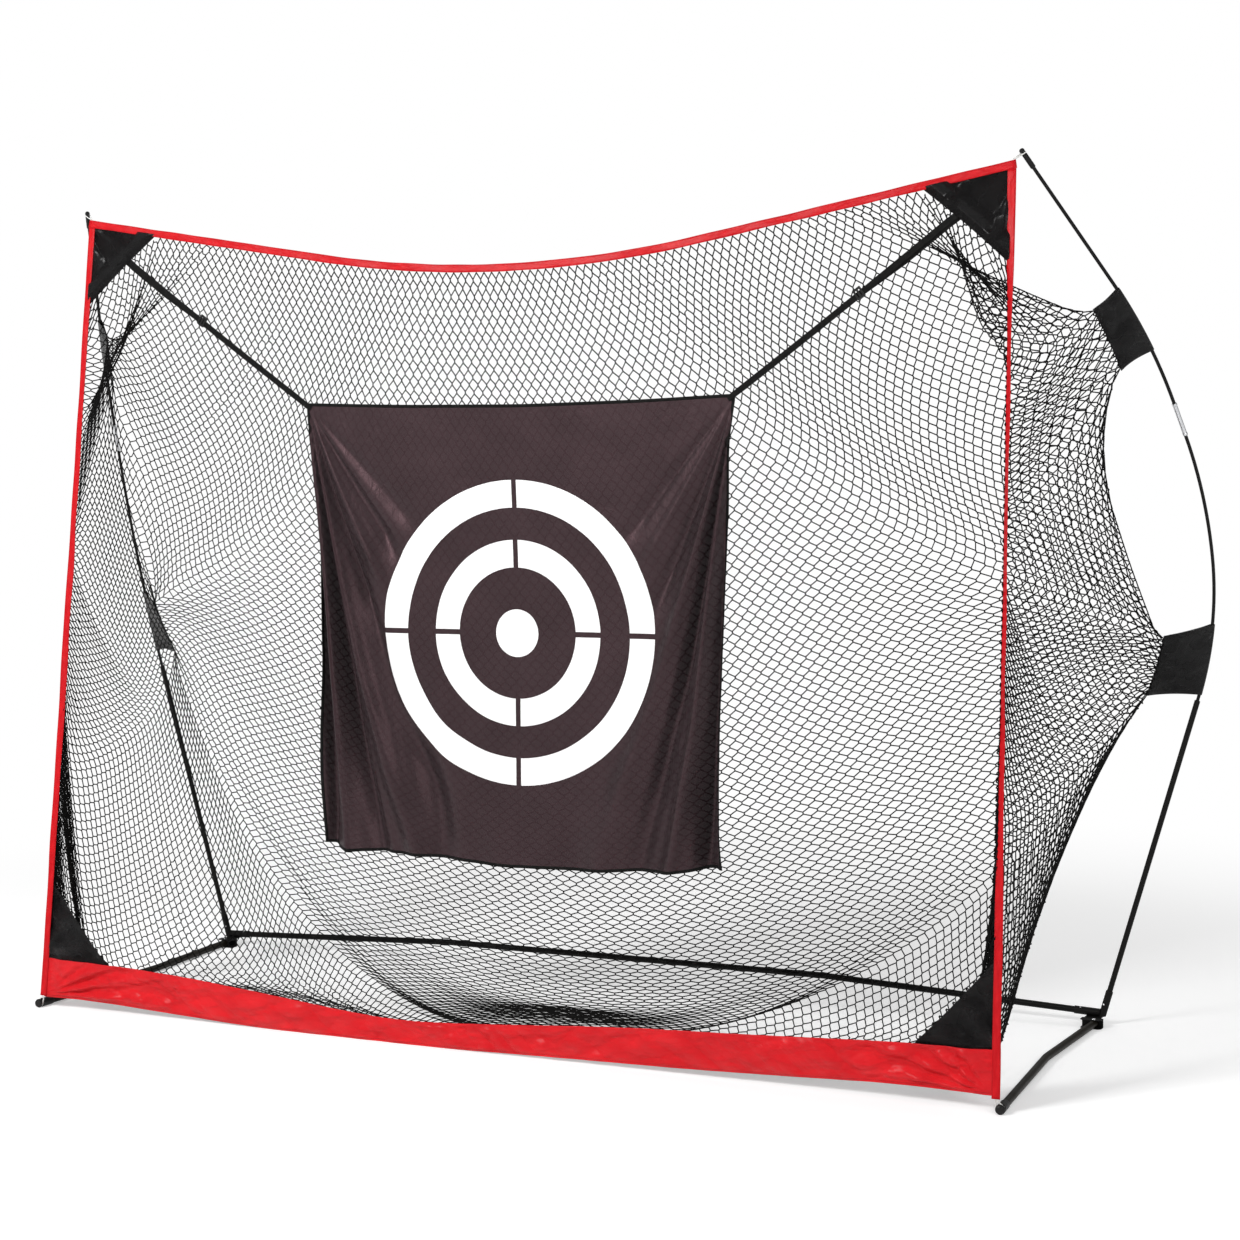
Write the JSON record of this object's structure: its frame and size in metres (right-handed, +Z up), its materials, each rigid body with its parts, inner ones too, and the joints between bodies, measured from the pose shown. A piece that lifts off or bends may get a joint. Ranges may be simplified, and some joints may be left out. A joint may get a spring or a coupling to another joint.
{
  "type": "golf practice net",
  "caption": "Free-standing golf chipping net: folding tube base, bent glass fibre poles, a black net bag with red hems and a hanging bull's-eye target cloth.",
  "frame": {"origin": "on the ground, midway between the two sides and midway between the front of the feet and the back of the poles", "axes": "+X to the right for a player who faces the mouth, +Y away from the player toward the back of the net, +Z up; the mouth faces -Y"},
  "size_m": [3.6926, 1.0422, 2.441],
  "materials": {
    "frame_paint": "satin black powder coat",
    "pin_steel": "zinc plated rivet",
    "button_steel": "bright plated spring button",
    "pole_rod": "black glass fibre rod",
    "ferrule_metal": "satin",
    "cap_plastic": "moulded black",
    "slider_plastic": "moulded black",
    "elastic_white": "braided elastic cord",
    "red_webbing": "shiny red nylon",
    "black_cloth": "coated polyester",
    "net_cord": "knotted nylon net",
    "target_cloth": "thin polyester satin with white rings",
    "strap_webbing": "woven webbing"
  },
  "bodies": {
    "frame": {"base_bar_end_left": "frame_paint", "base_bar_end_right": "frame_paint", "base_bar_middle": "frame_paint", "corner_bracket_left": "frame_paint", "corner_bracket_right": "frame_paint", "ferrule_left": "ferrule_metal", "ferrule_right": "ferrule_metal", "hem_bottom": "red_webbing", "hem_side_left": "red_webbing", "hem_side_right": "red_webbing", "hem_top": "red_webbing", "leg_channel_left": "frame_paint", "leg_channel_right": "frame_paint", "leg_pin_left": "pin_steel", "leg_pin_right": "pin_steel", "net_back_lower": "net_cord", "net_back_middle": "net_cord", "net_back_upper": "net_cord", "net_floor": "net_cord", "net_gusset_left": "net_cord", "net_gusset_right": "net_cord", "net_roof_left": "net_cord", "net_roof_middle": "net_cord", "net_roof_right": "net_cord", "net_side_left": "net_cord", "net_side_right": "net_cord", "patch_bottom_left": "black_cloth", "patch_bottom_right": "black_cloth", "patch_top_left": "black_cloth", "patch_top_right": "black_cloth", "rod_lower_left": "pole_rod", "rod_lower_right": "pole_rod", "rod_upper_left": "pole_rod", "rod_upper_right": "pole_rod", "sleeve_lower_left": "black_cloth", "sleeve_lower_right": "black_cloth", "sleeve_upper_left": "black_cloth", "sleeve_upper_right": "black_cloth", "tip_cap_left": "cap_plastic", "tip_cap_right": "cap_plastic", "tip_loop_left": "elastic_white", "tip_loop_right": "elastic_white", "upright_tube_left": "frame_paint", "upright_tube_right": "frame_paint"},
    "foot_right": {"leg_tube_right": "frame_paint", "foot_cap_right": "cap_plastic", "foot_loop_right": "elastic_white"},
    "upright_button_right": {"upright_button_right": "button_steel"},
    "bar_button_right": {"bar_button_right": "button_steel"},
    "slider_right": {"strap_slider_right": "slider_plastic"},
    "foot_left": {"leg_tube_left": "frame_paint", "foot_cap_left": "cap_plastic", "foot_loop_left": "elastic_white"},
    "upright_button_left": {"upright_button_left": "button_steel"},
    "bar_button_left": {"bar_button_left": "button_steel"},
    "slider_left": {"strap_slider_left": "slider_plastic"},
    "target": {"target_cloth": "target_cloth", "target_strap_right": "strap_webbing", "target_strap_left": "strap_webbing"}
  },
  "joints": [
    {"name": "leg_fold_right", "type": "hinge", "parent": "frame", "child": "foot_right", "pos_m": [1.508, 0.4444, 0.013], "axis": [0, 0, 1], "range_deg": [-88, 0]},
    {"name": "leg_fold_left", "type": "hinge", "parent": "frame", "child": "foot_left", "pos_m": [-1.508, 0.4444, 0.013], "axis": [0, 0, 1], "range_deg": [0, 88]},
    {"name": "target_swing", "type": "hinge", "parent": "frame", "child": "target", "pos_m": [0, -0.2175, 2.27472], "axis": [1, 0, 0], "range_deg": [-30, 6]},
    {"name": "upright_button_press_right", "type": "slide", "parent": "frame", "child": "upright_button_right", "axis": [0.3001, 0.9473, -0.112], "range_m": [0, 0.003], "stiffness_N_per_m": 800, "springref_m": -0.002},
    {"name": "bar_button_press_right", "type": "slide", "parent": "frame", "child": "bar_button_right", "axis": [-0.038, 0.4821, -0.8753], "range_m": [0, 0.003], "stiffness_N_per_m": 800, "springref_m": -0.002},
    {"name": "strap_adjust_right", "type": "slide", "parent": "target", "child": "slider_right", "axis": [-0.8144, 0, -0.5803], "range_m": [-0.22, 0.32]},
    {"name": "upright_button_press_left", "type": "slide", "parent": "frame", "child": "upright_button_left", "axis": [-0.3001, 0.9473, -0.112], "range_m": [0, 0.003], "stiffness_N_per_m": 800, "springref_m": -0.002},
    {"name": "bar_button_press_left", "type": "slide", "parent": "frame", "child": "bar_button_left", "axis": [0.038, 0.4821, -0.8753], "range_m": [0, 0.003], "stiffness_N_per_m": 800, "springref_m": -0.002},
    {"name": "strap_adjust_left", "type": "slide", "parent": "target", "child": "slider_left", "axis": [0.8144, 0, -0.5803], "range_m": [-0.22, 0.32]}
  ]
}
